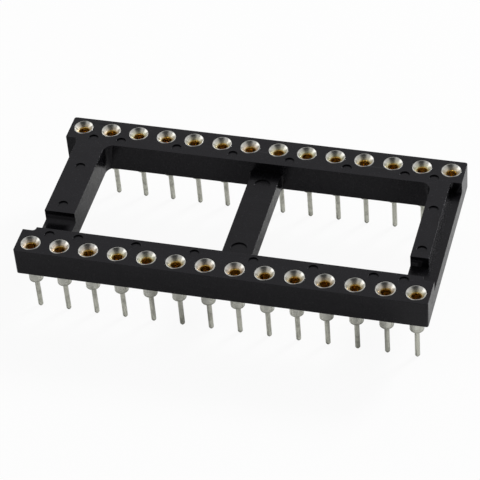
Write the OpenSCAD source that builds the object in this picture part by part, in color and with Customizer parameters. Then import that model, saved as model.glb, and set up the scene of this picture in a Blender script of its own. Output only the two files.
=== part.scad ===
// Open-frame dual in-line socket with turned contacts.
// The origin is the middle of the contact pattern on the board: the collars' shoulders stand on
// z = 0, the tails reach below it, +X runs along the rows and +Z points to the chip.

/* [Contact pattern] */
// Distance between neighbouring contacts of a row
pitch = 2.54; // [2.4:0.01:3]
// Distance between the two rows
row_spacing = 15.24; // [14:0.01:20]
// Contacts in each row
per_row = 14; // [8:2:14]

/* [Frame] */
// Height of the moulded frame
frame_h = 2.6; // [2.2:0.01:3.2]
// From the outer contacts' axes to the frame's outer faces
outer_wall = 1.2; // [1.1:0.01:1.8]
// From a row's axis to its rail's inner face, at the top
inner_wall = 1.96; // [1.9:0.01:2.6]
// How much the rails' inner faces come in towards the bottom
draft = 0.14; // [0.02:0.01:0.3]
// How far the low level of the bars lies under the top
step_drop = 1.05; // [0.6:0.01:1.4]
// Corner radius of the frame's outline
corner_r = 0.2; // [0.05:0.01:0.5]
// Corner radius of the two windows at the centre bar
window_r = 0.5; // [0.2:0.01:1]
// Corner radius of the two windows at the end bars
end_window_r = 0.95; // [0.3:0.01:1.2]

/* [Cross bars] */
// Width of the left end bar
left_bar_w = 2.68; // [2:0.01:3.5]
// How far the left end bar lies back from the rails' ends
left_inset = 1.11; // [0.6:0.01:1.6]
// Width of the right end bar, ledge included
right_bar_w = 2.54; // [2.2:0.01:3.5]
// Width of the low ledge along the right end
ledge_w = 0.97; // [0.6:0.01:1.2]
// Width of the centre bar
centre_bar_w = 2.61; // [2:0.01:4]
// Length of the low notch in the end bars, from the front rail's inner face
notch_l = 2.16; // [1:0.01:4]
// How far the rails' inner faces lie back between the rails' ends
end_relief = 0.44; // [0.2:0.01:0.5]
// Corner radius of the recesses between the rails' ends
relief_r = 0.3; // [0.1:0.01:0.4]

/* [Ejector marks] */
// Diameter of the marks on the rails and end bars
mark_d = 0.88; // [0.5:0.01:1]
// Diameter of the marks on the centre bar
centre_mark_d = 1.45; // [0.8:0.01:1.8]
// Depth of all marks
mark_depth = 0.12; // [0.05:0.01:0.3]
// From a row's axis to the middle of the marks on its rail
rail_mark_in = 1.25; // [1.2:0.01:1.4]
// From the end bars' notch to the middle of the first mark
end_mark_in = 1; // [0.6:0.01:1.5]
// From the rails to the middle of the marks on the centre bar
centre_mark_in = 1.61; // [1.2:0.01:2.4]

/* [Sleeves] */
// From the board to the sleeves' rims
rim_h = 4.1; // [4:0.01:5]
// Length of the solder tail
tail_l = 3.2; // [2:0.01:4.5]
// Diameter of the solder tail
tail_d = 0.43; // [0.35:0.01:0.6]
// Length of the tail's tapered tip
tip_l = 0.16; // [0.1:0.01:0.5]
// Diameter of the tail's flat end
tip_d = 0.27; // [0.1:0.01:0.3]
// Diameter of the barrel and its collar under the frame
barrel_d = 1.22; // [1.15:0.01:1.5]
// Chamfer on the collar's shoulder
shoulder_chamfer = 0.06; // [0.02:0.01:0.15]
// Diameter of the head
head_d = 1.76; // [1.7:0.01:2]
// Height of the head
head_h = 0.8; // [0.5:0.01:1.2]
// Chamfer on the rim's outer edge
rim_chamfer = 0.05; // [0.02:0.01:0.08]
// Diameter of the funnel at the rim
funnel_d = 1.48; // [1.3:0.01:1.52]
// Depth of the funnel
funnel_h = 0.36; // [0.25:0.01:0.45]
// Diameter of the bore that holds the clip
bore_d = 0.95; // [0.88:0.01:1]
// Room under the clip for the end of a lead
lead_room = 0.74; // [0.3:0.01:0.8]

/* [Clips] */
// Thickness of the clip's sheet
clip_wall = 0.06; // [0.05:0.005:0.1]
// Length of the clip's ring
ring_l = 0.7; // [0.5:0.01:0.9]
// Length over which the fingers close in
finger_l = 1.1; // [0.9:0.01:1.3]
// Length of the fingers' straight ends, which grip the lead
grip_l = 0.3; // [0.2:0.01:0.4]
// Diameter of the throat between the fingers' ends
throat_d = 0.38; // [0.3:0.01:0.46]
// Fingers on each clip
fingers = 4; // [2:2:6]
// Width of the slots between the fingers
slot_w = 0.1; // [0.05:0.01:0.14]

/* [Clearances] */
// Radial gap between a sleeve and its hole in the frame
sleeve_gap = 0.01; // [0:0.005:0.03]
// Radial gap between a clip's ring and its sleeve's bore
clip_gap = 0.01; // [0:0.005:0.02]

/* [Hidden] */
$fn = 48;
// Overshoot of every cut past the face that it opens
past = 0.5;
contacts = 2 * per_row;

// The frame's levels
top_z = rim_h;
bottom_z = top_z - frame_h;
step_z = top_z - step_drop;

// The frame's outline and its rails
row_y = row_spacing / 2;
row_l = (per_row - 1) * pitch;
end_x = row_l / 2 + outer_wall;
side_y = row_y + outer_wall;
rail_y = row_y - inner_wall;
relief_y = rail_y + end_relief;
notch_y = notch_l - rail_y;

// The cross bars, from left to right
left_bar_x0 = left_inset - end_x;
left_bar_x1 = left_bar_x0 + left_bar_w;
right_bar_x0 = end_x - right_bar_w;
ledge_x = end_x - ledge_w;
centre_bar_x = (left_bar_x1 + right_bar_x0) / 2;

// The middles of the ejector marks
rail_mark_y = row_y - rail_mark_in;
left_mark_x = (left_bar_x0 + left_bar_x1) / 2;
right_mark_x = (right_bar_x0 + ledge_x) / 2;
end_mark_y = notch_y + end_mark_in;
centre_mark_y = rail_y - centre_mark_in;

// The clip's levels, from its mouth down, and the floor of the sleeve's bore
clip_z = top_z - funnel_h;
ring_z = clip_z - ring_l;
grip_z = ring_z - finger_l;
clip_end_z = grip_z - grip_l;
floor_z = clip_end_z - lead_room;

// The clip's radii
clip_r = bore_d / 2 - clip_gap;
ring_r = clip_r - clip_wall;
throat_r = throat_d / 2;

// Names of the contacts' pieces, with two digits each
function label(kind, i) = str(kind, "_", i < 10 ? "0" : "", i);

// Contacts count along the front row from the left, then back along the far row
function contact_x(i) = (i <= per_row ? i - 1 : contacts - i) * pitch - row_l / 2;
function contact_y(i) = i <= per_row ? -row_y : row_y;

// Rails carry a mark beside every other gap between contacts, and beside the outermost gaps
function marked_gaps() =
    let (outer = per_row / 2 - 1)
    [for (k = [-outer : outer]) if (k % 2 != 0 || abs(k) == outer) k];

// A rectangle from one corner to the other, with corners of radius r0 at x0 and r1 at x1
module round_rect(x0, y0, x1, y1, r0, r1) {
    translate([x0 + r0, y0]) square([x1 - x0 - r0 - r1, y1 - y0]);
    for (end = [[x0, r0], [x1 - 2 * r1, r1]])
        translate([end[0], y0 + end[1]]) square([2 * end[1], y1 - y0 - 2 * end[1]]);
    for (end = [[x0 + r0, r0], [x1 - r1, r1]], y = [y0 + end[1], y1 - end[1]])
        translate([end[0], y]) circle(end[1]);
}

// A block with round upright corners that cuts from z up through the top
module pocket(x0, y0, x1, y1, r0, r1, z) {
    translate([0, 0, z])
        linear_extrude(top_z - z + past) round_rect(x0, y0, x1, y1, r0, r1);
}

// The space between the rails, narrower at the bottom by the draft
module between_rails() {
    lean = draft / frame_h;
    low_y = rail_y - draft - past * lean;
    high_y = rail_y + past * lean;
    rotate([90, 0, 90])
        linear_extrude(2 * end_x + 2 * past, center = true)
            polygon([
                [-low_y, bottom_z - past],
                [low_y, bottom_z - past],
                [high_y, top_z + past],
                [-high_y, top_z + past]]);
}

// The two windows, and the space above the low centre bar between them
module windows() {
    half = centre_bar_w / 2;
    wall_y = rail_y + draft / 4;
    low_z = bottom_z - past;
    pocket(left_bar_x1, -wall_y, right_bar_x0, wall_y, end_window_r, end_window_r, step_z);
    pocket(left_bar_x1, -wall_y, centre_bar_x - half, wall_y, end_window_r, window_r, low_z);
    pocket(centre_bar_x + half, -wall_y, right_bar_x0, wall_y, window_r, end_window_r, low_z);
}

// The low notches in both end bars, beside the front rail, past the windows' round corners
module notches() {
    for (span = [[left_bar_x0, left_bar_x1 + end_window_r], [right_bar_x0 - end_window_r, ledge_x]])
        translate([span[0] - past, -row_y, step_z])
            cube([span[1] - span[0] + 2 * past, row_y + notch_y, step_drop + past]);
}

// The recesses between the rails' ends: right through on the left, down to the ledge on the right
module end_recesses() {
    pocket(-end_x - past, -relief_y, left_bar_x0, relief_y, relief_r, relief_r, bottom_z - past);
    pocket(ledge_x, -relief_y, end_x + past, relief_y, relief_r, relief_r, step_z);
}

// One round ejector mark, sunk into a face at height z
module mark(x, y, z, d) {
    translate([x, y, z - mark_depth]) cylinder(h = mark_depth + past, d = d);
}

module marks() {
    for (k = marked_gaps(), side = [-1, 1])
        mark(k * pitch, side * rail_mark_y, top_z, mark_d);
    for (x = [left_mark_x, right_mark_x], side = [-1, 1])
        mark(x, side * end_mark_y, top_z, mark_d);
    for (side = [-1, 1])
        mark(centre_bar_x, side * centre_mark_y, step_z, centre_mark_d);
}

// The stepped hole that one sleeve is pressed into
module sleeve_hole() {
    translate([0, 0, bottom_z - past])
        cylinder(h = frame_h + 2 * past, d = barrel_d + 2 * sleeve_gap);
    translate([0, 0, top_z - head_h])
        cylinder(h = head_h + past, d = head_d + 2 * sleeve_gap);
}

module insulator() {
    color([0.16, 0.16, 0.17])
    difference() {
        translate([0, 0, bottom_z])
            linear_extrude(frame_h) round_rect(-end_x, -side_y, end_x, side_y, corner_r, corner_r);
        intersection() {
            between_rails();
            union() {
                windows();
                notches();
            }
        }
        end_recesses();
        marks();
        for (i = [1 : contacts])
            translate([contact_x(i), contact_y(i), 0]) sleeve_hole();
    }
}

// A turned sleeve, as one outline from the tail's end up the outside and down the bore
module sleeve() {
    color([0.78, 0.78, 0.75])
    rotate_extrude()
        polygon([
            [0, -tail_l],
            [tip_d / 2, -tail_l],
            [tail_d / 2, tip_l - tail_l],
            [tail_d / 2, 0],
            [barrel_d / 2 - shoulder_chamfer, 0],
            [barrel_d / 2, shoulder_chamfer],
            [barrel_d / 2, top_z - head_h],
            [head_d / 2, top_z - head_h],
            [head_d / 2, top_z - rim_chamfer],
            [head_d / 2 - rim_chamfer, top_z],
            [funnel_d / 2, top_z],
            [bore_d / 2, clip_z],
            [bore_d / 2, floor_z],
            [0, floor_z]]);
}

// A spring clip: a ring with a rounded-off mouth, and fingers that close in to the throat
module spring_clip() {
    color([0.86, 0.66, 0.28])
    difference() {
        rotate_extrude()
            polygon([
                [clip_r, clip_z],
                [clip_r, ring_z],
                [throat_r + clip_wall, grip_z],
                [throat_r + clip_wall, clip_end_z],
                [throat_r, clip_end_z],
                [throat_r, grip_z],
                [ring_r, ring_z],
                [ring_r, clip_z - clip_wall],
                [ring_r + clip_wall / 2, clip_z]]);
        for (k = [0 : fingers / 2 - 1])
            rotate([0, 0, k * 360 / fingers])
                translate([-bore_d, -slot_w / 2, clip_end_z - past])
                    cube([2 * bore_d, slot_w, ring_z - clip_end_z + past]);
    }
}

insulator();
for (i = [1 : contacts])
    translate([contact_x(i), contact_y(i), 0]) {
        sleeve();
        spring_clip();
    }
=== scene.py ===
import math

import bmesh
import bpy
from mathutils import Matrix, Vector


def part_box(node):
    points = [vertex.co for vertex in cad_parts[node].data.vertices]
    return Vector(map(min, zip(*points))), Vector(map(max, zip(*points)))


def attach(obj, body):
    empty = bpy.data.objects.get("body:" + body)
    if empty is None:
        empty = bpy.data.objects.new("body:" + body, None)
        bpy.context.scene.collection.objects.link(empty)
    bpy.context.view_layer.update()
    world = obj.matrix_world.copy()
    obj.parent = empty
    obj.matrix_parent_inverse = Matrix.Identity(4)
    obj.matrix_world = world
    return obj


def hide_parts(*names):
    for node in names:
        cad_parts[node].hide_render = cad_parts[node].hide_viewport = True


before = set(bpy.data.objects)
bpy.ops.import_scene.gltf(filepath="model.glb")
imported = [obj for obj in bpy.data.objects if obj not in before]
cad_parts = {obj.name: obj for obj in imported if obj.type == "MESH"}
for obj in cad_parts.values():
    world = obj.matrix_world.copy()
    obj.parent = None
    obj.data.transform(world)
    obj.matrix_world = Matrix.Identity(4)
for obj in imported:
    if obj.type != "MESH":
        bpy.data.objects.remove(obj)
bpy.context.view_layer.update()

# The part's lengths are in millimetres, and MM turns them into the frame's metres.
MM = 0.001
TIP_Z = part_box("sleeve_01")[0][2] / MM
RIM_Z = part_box("sleeve_01")[1][2] / MM

# Moulded frame: the rounding of its edges, and the share of it at shallow marks and contacts' holes
EDGE_ROUND = 0.02
EDGE_SEGMENTS = 3
MARK_WALL = 0.2
MARK_SHARE = 0.3
HOLE_REACH = 1.0
HOLE_SHARE = 0.6
WELD = 1e-4
FLAT = math.radians(0.5)
SHARP = math.radians(28)

# Turned sleeve: radii, lengths and heights
SLEEVE = {
    "tip_r": 0.135, "tip_l": 0.16, "tip_round": 0.04, "taper_in": 0.012, "taper_soft": 0.03,
    "tail_r": 0.215, "root_r": 0.05, "barrel_r": 0.61, "shoulder_r": 0.06,
    "head_r": 0.88, "head_h": 0.8, "head_chamfer": 0.02, "rim": 0.05,
    "funnel_r": 0.8, "funnel_h": 0.36, "bore_r": 0.475, "floor_z": RIM_Z - 3.2,
}
FUNNEL_FOOT = RIM_Z - SLEEVE["funnel_h"]
AROUND = 56
ARC_STEPS = 4
SLEEVE_SHARP = math.radians(35)

# Spring clip: its sheet, ring, fingers and the slots between them
CLIP = {
    "top_z": FUNNEL_FOOT, "wall": 0.06, "mouth": 0.07, "flare": 0.054, "ring_r": 0.405, "ring_l": 0.7,
    "fingers": 4, "finger_l": 1.1, "finger_ease": 0.35, "slot_w": 0.1, "throat_r": 0.19, "grip_l": 0.3,
}
MOUTH_SHARES = (0.0, 0.5, 0.85)
RING_ROWS = 4
FINGER_ROWS = 8
GRIP_ROWS = 2
FINGER_CELLS = 10
SLOT_CELLS = 2
CLIP_SHARP = math.radians(40)


def nodes_of(kind):
    return sorted(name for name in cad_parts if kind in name)


def middle_xy(node):
    """Where a node's upright axis stands, in metres."""
    low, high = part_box(node)
    return (low[0] + high[0]) / 2, (low[1] + high[1]) / 2


# Node graphs


def new_material(name):
    material = bpy.data.materials.new(name)
    material.use_nodes = True
    material.node_tree.nodes.clear()
    return material, material.node_tree


def add(tree, kind, settings=None, **inputs):
    """A node with its settings, and its input sockets set to numbers or linked to other sockets."""
    node = tree.nodes.new(kind)
    for key, value in (settings or {}).items():
        setattr(node, key, value)
    for key, value in inputs.items():
        numbered = key[0] == "i" and key[1:].isdigit()
        socket = node.inputs[int(key[1:]) if numbered else key.replace("_", " ")]
        if isinstance(value, bpy.types.NodeSocket):
            tree.links.new(value, socket)
        else:
            socket.default_value = value
    return node


def math_node(tree, operation, a, b=0.0, clamp=False):
    settings = {"operation": operation, "use_clamp": clamp}
    return add(tree, "ShaderNodeMath", settings, i0=a, i1=b).outputs[0]


def noise(tree, vector, scale, detail=2.0, rough=0.5):
    """Cloudy pattern, with its scale in lumps to a metre."""
    node = add(tree, "ShaderNodeTexNoise", Vector=vector, Scale=scale, Detail=detail, Roughness=rough)
    return node.outputs[0]


def spread(tree, value, low, high, to_low=0.0, to_high=1.0):
    """Carries a value from one range to another, and holds it at the ends."""
    node = add(tree, "ShaderNodeMapRange", Value=value, From_Min=low, From_Max=high,
               To_Min=to_low, To_Max=to_high)
    return node.outputs[0]


def scaled(tree, value, share):
    return math_node(tree, "MULTIPLY", value, share)


def vector_math(tree, operation, a, b=None):
    inputs = {"i0": a} if b is None else {"i0": a, "i1": b}
    return add(tree, "ShaderNodeVectorMath", {"operation": operation}, **inputs)


def blend(tree, factor, a, b):
    """Goes from one colour to another as the factor goes from 0 to 1."""
    node = add(tree, "ShaderNodeMix", {"data_type": "RGBA"})
    tree.links.new(factor, node.inputs[0])
    for socket, value in ((node.inputs[6], a), (node.inputs[7], b)):
        if isinstance(value, bpy.types.NodeSocket):
            tree.links.new(value, socket)
        else:
            socket.default_value = (*value, 1.0)
    return node.outputs[2]


def bump(tree, height, strength, depth, normal=None):
    """Relief of a depth in millimetres, over another relief if there is one."""
    node = add(tree, "ShaderNodeBump", Height=height, Strength=strength, Distance=depth * MM)
    if normal is not None:
        tree.links.new(normal, node.inputs["Normal"])
    return node.outputs[0]


def stretched(tree, vector, x, y, z):
    return add(tree, "ShaderNodeMapping", Vector=vector, Scale=(x, y, z)).outputs[0]


def surface(tree, **inputs):
    shader = add(tree, "ShaderNodeBsdfPrincipled", **inputs)
    add(tree, "ShaderNodeOutputMaterial", Surface=shader.outputs[0])


# Materials

PLASTIC = {
    "deep": (0.0018, 0.0017, 0.0021), "plain": (0.0028, 0.0027, 0.0034),
    "scuffed": (0.0058, 0.0056, 0.0069), "streak": (0.007, 0.0067, 0.0083),
    # The worn colour is a painted edge sheen.
    "fleck": (0.03, 0.03, 0.034), "worn": (0.03, 0.03, 0.033),
    "gloss": (0.95, 0.93, 1.0, 1.0),
}
TIN = {
    "low": (0.7, 0.695, 0.65), "high": (0.82, 0.815, 0.78), "dull": (0.61, 0.615, 0.53),
    "tarnish": (0.34, 0.345, 0.29), "residue": (0.26, 0.26, 0.22),
    "red_brass": (0.86, 0.69, 0.52), "pale_brass": (0.82, 0.8, 0.53),
    "smudge": (0.34, 0.3, 0.22), "ring": (0.42, 0.4, 0.36), "speck": (0.3, 0.28, 0.24),
}
GOLD = {
    "low": (0.78, 0.56, 0.19), "high": (0.88, 0.68, 0.28),
    "rolled": (0.46, 0.3, 0.1), "stain": (0.4, 0.25, 0.08),
}
# How far the painted edge sheen reaches from an edge, and the pitches of tool marks and cut rings, in
# millimetres
EDGE_SHEEN_REACH = 0.06
TOOL_PITCH = 0.045
RING_PITCH = 0.1


def black_plastic():
    """Glass-filled moulding: near black, with fine grain, flow streaks, pale flecks, a painted sheen on the
    edges, and lighter highest level faces.
    """
    material, tree = new_material("black_plastic_moulded")
    place = add(tree, "ShaderNodeTexCoord").outputs["Object"]
    grain = noise(tree, place, 16000, 3.0, 0.6)
    mottle = noise(tree, place, 900, 4.0, 0.6)
    streaks = noise(tree, stretched(tree, place, 350, 3800, 3800), 1.0, 3.0, 0.6)
    flecks = spread(tree, noise(tree, place, 5200, 1.0), 0.66, 0.72)

    # Painted sheen lightens the edges where a rounded normal departs from the true one, and the highest
    # level faces are lighter.
    rounded = add(tree, "ShaderNodeBevel", {"samples": 6}, Radius=EDGE_SHEEN_REACH * MM).outputs[0]
    true_normal = add(tree, "ShaderNodeNewGeometry").outputs["Normal"]
    along = vector_math(tree, "DOT_PRODUCT", rounded, true_normal).outputs["Value"]
    edge_sheen = scaled(tree, spread(tree, along, 0.985, 0.9), spread(tree, mottle, 0.35, 0.7))
    level = spread(tree, add(tree, "ShaderNodeSeparateXYZ", Vector=true_normal).outputs[2], 0.8, 0.95)
    height = add(tree, "ShaderNodeSeparateXYZ", Vector=place).outputs[2]
    raised = spread(tree, height, (RIM_Z - 0.3) * MM, (RIM_Z - 0.1) * MM)
    scuffed = scaled(tree, scaled(tree, level, raised), spread(tree, mottle, 0.3, 0.7, 0.6, 1.0))

    colour = blend(tree, spread(tree, mottle, 0.3, 0.7), PLASTIC["deep"], PLASTIC["plain"])
    # The highest level faces get a lighter colour.
    colour = blend(tree, scuffed, colour, PLASTIC["scuffed"])
    colour = blend(tree, spread(tree, streaks, 0.35, 0.75, 0.0, 0.4), colour, PLASTIC["streak"])
    colour = blend(tree, scaled(tree, flecks, 0.3), colour, PLASTIC["fleck"])
    # Painted sheen lightens the edges.
    colour = blend(tree, scaled(tree, edge_sheen, 0.15), colour, PLASTIC["worn"])
    rough = math_node(tree, "ADD", spread(tree, mottle, 0.25, 0.75, 0.2, 0.3),
                      spread(tree, grain, 0.3, 0.7, -0.03, 0.05))
    normal = bump(tree, grain, 0.3, 0.002)
    normal = bump(tree, streaks, 0.15, 0.004, normal)
    surface(tree, Base_Color=colour, Roughness=rough, Normal=normal, Specular_IOR_Level=0.23,
            Specular_Tint=PLASTIC["gloss"])
    return material


def waves(tree, run, pitch, wobble):
    """Even waves along a length, with a pitch in millimetres, that a wobble shifts."""
    turns = scaled(tree, run, 2 * math.pi / (pitch * MM))
    return math_node(tree, "SINE", math_node(tree, "ADD", turns, wobble))


def tin_plate():
    """Turned brass with tin plate: bright on the head, dull and tarnished below, with tool marks."""
    material, tree = new_material("tin_plate_turned")
    place = add(tree, "ShaderNodeTexCoord").outputs["Object"]
    own = add(tree, "ShaderNodeObjectInfo").outputs["Random"]
    shifted = vector_math(tree, "ADD", place, own).outputs[0]
    parts = add(tree, "ShaderNodeSeparateXYZ", Vector=place)
    flat = add(tree, "ShaderNodeCombineXYZ", X=parts.outputs[0], Y=parts.outputs[1])
    reach = vector_math(tree, "LENGTH", flat.outputs[0]).outputs["Value"]
    height = parts.outputs[2]
    cloud = noise(tree, shifted, 1800, 4.0, 0.6)
    specks = noise(tree, shifted, 9000, 2.0, 0.6)
    patches = spread(tree, noise(tree, shifted, 3600, 2.0), 0.52, 0.66)

    def between(nothing, full):
        """Rises from 0 at one height to 1 at another, in millimetres."""
        return spread(tree, height, nothing * MM, full * MM)

    # Fine marks of the lathe run by the radius and by the height.
    wobble = scaled(tree, noise(tree, place, 3000, 2.0), 5.0)
    marks = math_node(tree, "ADD", waves(tree, reach, TOOL_PITCH, wobble),
                      waves(tree, height, TOOL_PITCH, wobble))

    # The plate is thin at the foot of the funnel, where brass shows through, and its brass tint also paints
    # a reflection of the gold clip there; cut rings show in it.
    funnel = scaled(tree, between(RIM_Z - 0.08, FUNNEL_FOOT + 0.02),
                    between(FUNNEL_FOOT - 0.39, FUNNEL_FOOT - 0.29))
    mouth = SLEEVE["funnel_r"]
    inside = scaled(tree, funnel, spread(tree, reach, mouth * MM, (mouth - 0.04) * MM))
    # Brass showing through thin plate, and a painted reflection of the gold clip.
    thin_plate_and_gold_reflection = scaled(tree, inside, spread(tree, cloud, 0.2, 0.6, 0.55, 1.0))
    smudges = scaled(tree, patches, scaled(tree, inside, spread(tree, own, 0.0, 1.0, 0.9, 0.3)))
    rings = scaled(tree, waves(tree, reach, RING_PITCH, scaled(tree, cloud, 4.0)),
                   between(FUNNEL_FOOT - 0.14, FUNNEL_FOOT - 0.04))

    # Collar and tail are dull, with painted shade under the collar's shoulder, and darker towards the tip.
    dull = between(2.0, -0.4)
    tarnish = scaled(tree, dull, spread(tree, cloud, 0.47, 0.62))
    # Painted shade under the collar's shoulder, and a darker band at the tip.
    shoulder_shade = scaled(tree, between(0.22, 0.05), between(-0.35, -0.1))
    residue = math_node(tree, "MAXIMUM", shoulder_shade, between(TIP_Z + 0.3, TIP_Z + 0.05))

    colour = blend(tree, spread(tree, cloud, 0.3, 0.7), TIN["low"], TIN["high"])
    colour = blend(tree, scaled(tree, dull, 0.8), colour, TIN["dull"])
    colour = blend(tree, scaled(tree, tarnish, 0.6), colour, TIN["tarnish"])
    # Painted shade under the shoulder, and a darker tip.
    colour = blend(tree, scaled(tree, residue, 0.75), colour, TIN["residue"])
    # The brass tint stands partly for brass through thin plate and partly for a painted reflection of the
    # gold clip.
    colour = blend(tree, thin_plate_and_gold_reflection, colour, blend(tree, own, TIN["red_brass"], TIN["pale_brass"]))
    colour = blend(tree, smudges, colour, TIN["smudge"])
    colour = blend(tree, spread(tree, rings, 0.2, 1.0, 0.0, 0.3), colour, TIN["ring"])
    colour = blend(tree, spread(tree, specks, 0.62, 0.78, 0.0, 0.5), colour, TIN["speck"])
    worn = math_node(tree, "ADD", scaled(tree, dull, 0.12), scaled(tree, thin_plate_and_gold_reflection, 0.2))
    rough = math_node(tree, "ADD", spread(tree, cloud, 0.25, 0.75, 0.15, 0.23), worn)
    normal = bump(tree, marks, 0.2, 0.0008)
    normal = bump(tree, rings, 0.3, 0.001, normal)
    normal = bump(tree, specks, 0.2, 0.004, normal)
    surface(tree, Base_Color=colour, Roughness=rough, Normal=normal, Metallic=1.0)
    return material


def gold_plate():
    """Rolled spring sheet with thin gold: cloudy, with rolling marks, and a painted shade at the mouth."""
    material, tree = new_material("gold_plate_rolled")
    place = add(tree, "ShaderNodeTexCoord").outputs["Object"]
    own = add(tree, "ShaderNodeObjectInfo").outputs["Random"]
    shifted = vector_math(tree, "ADD", place, own).outputs[0]
    cloud = noise(tree, shifted, 2600, 4.0, 0.6)
    rolled = noise(tree, stretched(tree, shifted, 9000, 9000, 900), 1.0, 3.0, 0.6)
    height = add(tree, "ShaderNodeSeparateXYZ", Vector=place).outputs[2]
    mouth = spread(tree, height, (CLIP["top_z"] - 0.3) * MM, (CLIP["top_z"] - 0.05) * MM)
    # Painted shade at the clip's mouth, stronger on some clips than on others.
    stain = scaled(tree, mouth, spread(tree, own, 0.0, 1.0, 0.05, 0.5))

    colour = blend(tree, spread(tree, cloud, 0.3, 0.7), GOLD["low"], GOLD["high"])
    colour = blend(tree, spread(tree, rolled, 0.55, 0.8, 0.0, 0.6), colour, GOLD["rolled"])
    # Painted shade darkens the mouth.
    colour = blend(tree, stain, colour, GOLD["stain"])
    rough = spread(tree, cloud, 0.25, 0.75, 0.22, 0.36)
    normal = bump(tree, rolled, 0.25, 0.003)
    surface(tree, Base_Color=colour, Roughness=rough, Normal=normal, Metallic=1.0)
    return material


# Moulded frame


def span_z(face):
    heights = [v.co.z for v in face.verts]
    return (max(heights) - min(heights)) / MM


def rounding(edge, axes):
    """Share of the full rounding that an edge gets: less at the shallow marks and the contacts' holes."""
    if len(edge.link_faces) != 2 or edge.calc_face_angle(0.0) < SHARP:
        return 0.0
    if not edge.is_convex:
        return 0.0
    walls = [span_z(f) for f in edge.link_faces if abs(f.normal.z) < 0.5]
    share = MARK_SHARE if min(walls, default=math.inf) < MARK_WALL else 1.0
    point = (edge.verts[0].co + edge.verts[1].co) / 2
    hole = min(math.hypot(point.x - x, point.y - y) for x, y in axes) / MM
    return min(share, HOLE_SHARE) if hole < HOLE_REACH else share


def moulded_frame(axes):
    """The frame's own solid, welded into one skin, with every edge rounded as a mould leaves it."""
    mesh = bpy.data.meshes.new("moulded_frame")
    skin = bmesh.new()
    skin.from_mesh(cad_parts["insulator"].data)
    bmesh.ops.remove_doubles(skin, verts=skin.verts, dist=WELD * MM)
    bmesh.ops.dissolve_limit(skin, angle_limit=FLAT, verts=skin.verts, edges=skin.edges)
    skin.normal_update()
    weights = skin.edges.layers.float.new("bevel_weight_edge")
    for edge in skin.edges:
        edge[weights] = rounding(edge, axes)
        edge.smooth = edge[weights] > 0 or edge.calc_face_angle(0.0) < SHARP
    for face in skin.faces:
        face.smooth = True
    skin.to_mesh(mesh)
    skin.free()
    piece = bpy.data.objects.new("moulded_frame", mesh)
    bpy.context.scene.collection.objects.link(piece)
    rounded = piece.modifiers.new("rounded", "BEVEL")
    rounded.width = EDGE_ROUND * MM
    rounded.segments = EDGE_SEGMENTS
    rounded.limit_method = "WEIGHT"
    rounded.use_clamp_overlap = False
    rounded.loop_slide = False
    even = piece.modifiers.new("even_shading", "WEIGHTED_NORMAL")
    even.weight = 100
    even.keep_sharp = True
    return piece


# Turned sleeves


def arc(radius, height, size, start, end):
    """Points of an arc in the profile's plane, from one angle to another in degrees."""
    turns = [math.radians(start + (end - start) * k / ARC_STEPS) for k in range(ARC_STEPS + 1)]
    return [(radius + size * math.cos(t), height + size * math.sin(t)) for t in turns]


def sleeve_profile():
    """Outline of a sleeve from the middle of its tip, up the outside, over the rim and down the bore."""
    s = SLEEVE
    taper_z = TIP_Z + s["tip_l"]
    head_z = RIM_Z - s["head_h"]
    points = [(0.0, TIP_Z)]
    points += arc(s["tip_r"] - s["tip_round"], TIP_Z + s["tip_round"], s["tip_round"], -90, -20)
    points += [(s["tail_r"] - s["taper_in"], taper_z - s["taper_soft"])]
    points += [(s["tail_r"], taper_z + s["taper_soft"]), (s["tail_r"], TIP_Z / 2)]
    points += arc(s["tail_r"] + s["root_r"], -s["root_r"], s["root_r"], 180, 90)
    points += arc(s["barrel_r"] - s["shoulder_r"], s["shoulder_r"], s["shoulder_r"], -90, 0)
    points += [(s["barrel_r"], head_z), (s["head_r"] - s["head_chamfer"], head_z)]
    points += [(s["head_r"], head_z + s["head_chamfer"]), (s["head_r"], RIM_Z - s["rim"])]
    points += [(s["head_r"] - s["rim"], RIM_Z), (s["funnel_r"], RIM_Z), (s["bore_r"], FUNNEL_FOOT)]
    points += [(s["bore_r"], s["floor_z"]), (0.0, s["floor_z"])]
    return points


def revolved(name, profile):
    """A closed skin from a profile that starts and ends on the upright axis."""
    mesh = bpy.data.meshes.new(name)
    skin = bmesh.new()
    turns = [2 * math.pi * k / AROUND for k in range(AROUND)]
    rings = []
    for radius, height in profile:
        if radius == 0.0:
            rings.append([skin.verts.new((0.0, 0.0, height * MM))])
            continue
        points = [(radius * math.cos(t), radius * math.sin(t), height) for t in turns]
        rings.append([skin.verts.new(Vector(p) * MM) for p in points])
    for low, high in zip(rings, rings[1:]):
        for k in range(AROUND):
            n = (k + 1) % AROUND
            corners = [low[k % len(low)], low[n % len(low)], high[n % len(high)], high[k % len(high)]]
            skin.faces.new(list(dict.fromkeys(corners))).smooth = True
    bmesh.ops.recalc_face_normals(skin, faces=skin.faces)
    skin.to_mesh(mesh)
    skin.free()
    mesh.set_sharp_from_angle(angle=SLEEVE_SHARP)
    return mesh


# Spring clips


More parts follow.
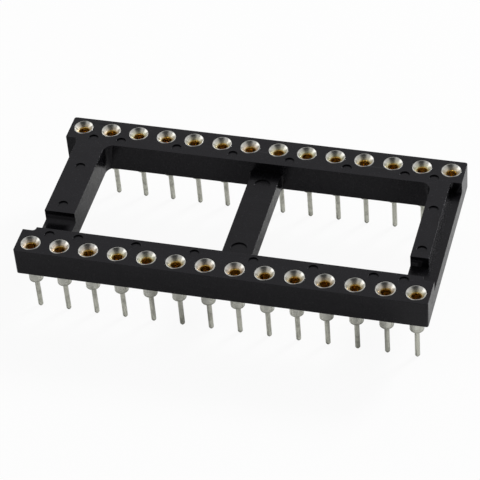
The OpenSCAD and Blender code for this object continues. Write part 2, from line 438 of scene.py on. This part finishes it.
def clip_rows():
    """Inner radius and height down the clip's wall, with the number of rows that make the ring."""
    c = CLIP
    top = c["top_z"]
    rows = [(c["ring_r"] + c["flare"] * (1 - share), top - c["mouth"] * share) for share in MOUTH_SHARES]
    rows += [(c["ring_r"], top - c["ring_l"] * k / RING_ROWS) for k in range(1, RING_ROWS + 1)]
    ring_rows = len(rows)
    drop = c["throat_r"] - c["ring_r"]
    foot = top - c["ring_l"]
    for k in range(1, FINGER_ROWS + 1):
        share = k / FINGER_ROWS
        curve = share * share * (3 - 2 * share)
        ease = curve * c["finger_ease"] + share * (1 - c["finger_ease"])
        rows.append((c["ring_r"] + drop * ease, foot - c["finger_l"] * share))
    grip = foot - c["finger_l"]
    rows += [(c["throat_r"], grip - c["grip_l"] * k / GRIP_ROWS) for k in range(1, GRIP_ROWS + 1)]
    return rows, ring_rows


def clip_angles(radius):
    """Angles of the columns at a radius: each finger's cells, then the cells of the slot after it."""
    half_slot = math.asin(CLIP["slot_w"] / 2 / radius)
    pitch = 2 * math.pi / CLIP["fingers"]
    angles = []
    for finger in range(CLIP["fingers"]):
        start = finger * pitch + half_slot
        angles += [start + (pitch - 2 * half_slot) * k / FINGER_CELLS for k in range(FINGER_CELLS)]
        start = (finger + 1) * pitch - half_slot
        angles += [start + 2 * half_slot * k / SLOT_CELLS for k in range(SLOT_CELLS)]
    return angles


def clip_mesh(name):
    """Sheet of even wall, rolled to a ring and slit into fingers, as one closed skin."""
    rows, ring_rows = clip_rows()
    columns = CLIP["fingers"] * (FINGER_CELLS + SLOT_CELLS)
    mesh = bpy.data.meshes.new(name)
    skin = bmesh.new()
    sides = {}
    for side, extra in (("in", 0.0), ("out", CLIP["wall"])):
        for i, (inner, height) in enumerate(rows):
            radius = min(inner + extra, CLIP["ring_r"] + CLIP["wall"])
            for j, turn in enumerate(clip_angles(radius)):
                point = (radius * MM * math.cos(turn), radius * MM * math.sin(turn), height * MM)
                sides[side, i, j] = skin.verts.new(point)

    def filled(i, j):
        """Whether a cell is sheet: all of the ring, and below it the fingers without their slots."""
        if not 0 <= i < len(rows) - 1:
            return False
        return i < ring_rows - 1 or j % columns % (FINGER_CELLS + SLOT_CELLS) < FINGER_CELLS

    def face(*keys):
        skin.faces.new([sides[k] for k in keys]).smooth = True

    for i in range(len(rows) - 1):
        for j in range(columns):
            if not filled(i, j):
                continue
            n = (j + 1) % columns
            face(("out", i, j), ("out", i + 1, j), ("out", i + 1, n), ("out", i, n))
            face(("in", i, j), ("in", i, n), ("in", i + 1, n), ("in", i + 1, j))
            if not filled(i - 1, j):
                face(("out", i, j), ("out", i, n), ("in", i, n), ("in", i, j))
            if not filled(i + 1, j):
                face(("out", i + 1, j), ("in", i + 1, j), ("in", i + 1, n), ("out", i + 1, n))
            if not filled(i, j - 1):
                face(("out", i, j), ("in", i, j), ("in", i + 1, j), ("out", i + 1, j))
            if not filled(i, j + 1):
                face(("out", i, n), ("out", i + 1, n), ("in", i + 1, n), ("in", i, n))
    loose = [v for v in skin.verts if not v.link_faces]
    bmesh.ops.delete(skin, geom=loose, context="VERTS")
    bmesh.ops.recalc_face_normals(skin, faces=skin.faces)
    skin.to_mesh(mesh)
    skin.free()
    mesh.set_sharp_from_angle(angle=CLIP_SHARP)
    return mesh


# Assembly

body = moulded_frame([middle_xy(n) for n in nodes_of("sleeve")])
body.data.materials.clear()
body.data.materials.append(black_plastic())
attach(body, "root")
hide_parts("insulator")

# What the nodes' names hold, the pieces' name, mesh and material, and the record's slot
KINDS = (
    ("sleeve", "turned_sleeve", revolved("turned_sleeve", sleeve_profile()), tin_plate(), "tin_plate"),
    ("clip", "rolled_clip", clip_mesh("rolled_clip"), gold_plate(), "gold_plate"),
)
for kind, title, mesh, material, slot in KINDS:
    mesh.materials.append(material)
    for node in nodes_of(kind):
        piece = bpy.data.objects.new(title + node[-3:], mesh)
        piece.location = (*middle_xy(node), 0.0)
        bpy.context.scene.collection.objects.link(piece)
        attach(piece, "root")
        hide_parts(node)


# Camera, as fitted to the contacts' rims in the photo

AZIMUTH = math.radians(17.98)
ELEVATION = math.radians(42.79)
ROLL = math.radians(-5.2)
DISTANCE = 202.3
SHIFT_RIGHT = -0.22
SHIFT_UP = -2.87
FOCAL_PIXELS = 2385
PICTURE_PIXELS = 480
SENSOR = 36.0


def set_camera():
    flat = math.cos(ELEVATION)
    back = Vector((math.sin(AZIMUTH) * flat, -math.cos(AZIMUTH) * flat, math.sin(ELEVATION)))
    level = Vector((0, 0, 1)).cross(back).normalized()
    rise = back.cross(level)
    right = level * math.cos(ROLL) + rise * math.sin(ROLL)
    up = rise * math.cos(ROLL) - level * math.sin(ROLL)
    place = Vector((0, 0, RIM_Z)) + right * SHIFT_RIGHT + up * SHIFT_UP + back * DISTANCE
    data = bpy.data.cameras.new("camera")
    data.sensor_width = SENSOR
    data.lens = FOCAL_PIXELS * SENSOR / PICTURE_PIXELS
    data.clip_start = 0.01
    data.clip_end = 50
    camera = bpy.data.objects.new("camera", data)
    turn = Matrix((right, up, back)).transposed().to_4x4()
    camera.matrix_world = Matrix.Translation(place * MM) @ turn
    bpy.context.scene.collection.objects.link(camera)
    bpy.context.scene.camera = camera


# Floor, world and lamps. Their lengths are in metres, and the world's levels go by the way's height.

FLOOR_HALF = 3.0
FLOOR_WHITE = 0.78
SEEN_WHITE = 0.93
MIRRORED_SHARE = 0.1
WHITE = (1, 1, 1, 1)
HORIZON = {"height": 0.1, "level": 0.78}
MIDDLE = {"height": 0.45, "level": 0.5}
OVERHEAD = {"start": 0.78, "full": 0.95, "added": 0.35}
DIM = {"azimuth": math.radians(24), "rise": 0.9, "start": 0.71, "full": 0.94, "level": 0.1}
DIM_SIDE = Vector((math.sin(DIM["azimuth"]), -math.cos(DIM["azimuth"]), DIM["rise"])).normalized()
LAMPS = (
    {"name": "soft_box_back", "place": (-0.05, 0.32, 0.28), "size": (0.45, 0.3), "radiance": 0.2},
    {"name": "soft_box_left", "place": (-0.385, 0.04, 0.1), "size": (0.36, 0.19), "radiance": 0.8},
    {"name": "key_box", "place": (0.24, 0.319, 0.301), "size": (0.125, 0.125), "radiance": 35.0},
)


def seen_directly(tree):
    """One for camera rays, and a share for rays that a mirror or clear piece sends on."""
    path = add(tree, "ShaderNodeLightPath")
    glossy = path.outputs["Is Glossy Ray"]
    mirrored = math_node(tree, "ADD", glossy, path.outputs["Is Transmission Ray"], True)
    mirrored = scaled(tree, mirrored, MIRRORED_SHARE)
    return math_node(tree, "ADD", path.outputs["Is Camera Ray"], mirrored, True)


def set_floor():
    mesh = bpy.data.meshes.new("floor")
    corners = [(-1, -1), (1, -1), (1, 1), (-1, 1)]
    mesh.from_pydata([(x * FLOOR_HALF, y * FLOOR_HALF, TIP_Z * MM) for x, y in corners], [], [(0, 1, 2, 3)])
    floor = bpy.data.objects.new("floor", mesh)
    bpy.context.scene.collection.objects.link(floor)
    material, tree = new_material("pale_floor")
    matt = add(tree, "ShaderNodeBsdfDiffuse", Color=(FLOOR_WHITE, FLOOR_WHITE, FLOOR_WHITE, 1))
    white = add(tree, "ShaderNodeEmission", Color=WHITE, Strength=1.0)
    share = scaled(tree, seen_directly(tree), SEEN_WHITE)
    mixed = add(tree, "ShaderNodeMixShader", i0=share, i1=matt.outputs[0], i2=white.outputs[0])
    add(tree, "ShaderNodeOutputMaterial", Surface=mixed.outputs[0])
    mesh.materials.append(material)


def set_world():
    """Pale surroundings: light at the horizon, dimmer above, lit overhead, dark at the photographer."""
    world = bpy.data.worlds.new("surroundings")
    world.use_nodes = True
    tree = world.node_tree
    tree.nodes.clear()
    way = add(tree, "ShaderNodeTexCoord").outputs["Generated"]
    height = add(tree, "ShaderNodeSeparateXYZ", Vector=way).outputs[2]
    around = spread(tree, height, HORIZON["height"], MIDDLE["height"], HORIZON["level"], MIDDLE["level"])
    above = spread(tree, height, OVERHEAD["start"], OVERHEAD["full"], 0.0, OVERHEAD["added"])
    facing = vector_math(tree, "DOT_PRODUCT", way, DIM_SIDE).outputs["Value"]
    dimmed = spread(tree, facing, DIM["start"], DIM["full"], 1.0, DIM["level"])
    strength = scaled(tree, math_node(tree, "ADD", around, above), dimmed)
    sky = add(tree, "ShaderNodeBackground", Color=WHITE, Strength=strength)
    add(tree, "ShaderNodeOutputWorld", Surface=sky.outputs[0])
    bpy.context.scene.world = world


def add_lamp(name, place, size, radiance):
    """A soft box that faces the object, by how bright its face is."""
    data = bpy.data.lights.new(name, "AREA")
    data.shape = "RECTANGLE"
    data.size = size[0]
    data.size_y = size[1]
    data.energy = radiance * math.pi * size[0] * size[1]
    light = bpy.data.objects.new(name, data)
    light.location = place
    light.rotation_euler = Vector(place).to_track_quat("Z", "Y").to_euler()
    bpy.context.scene.collection.objects.link(light)


set_camera()
set_floor()
set_world()
for lamp in LAMPS:
    add_lamp(**lamp)
bpy.context.scene.view_settings.view_transform = "Standard"
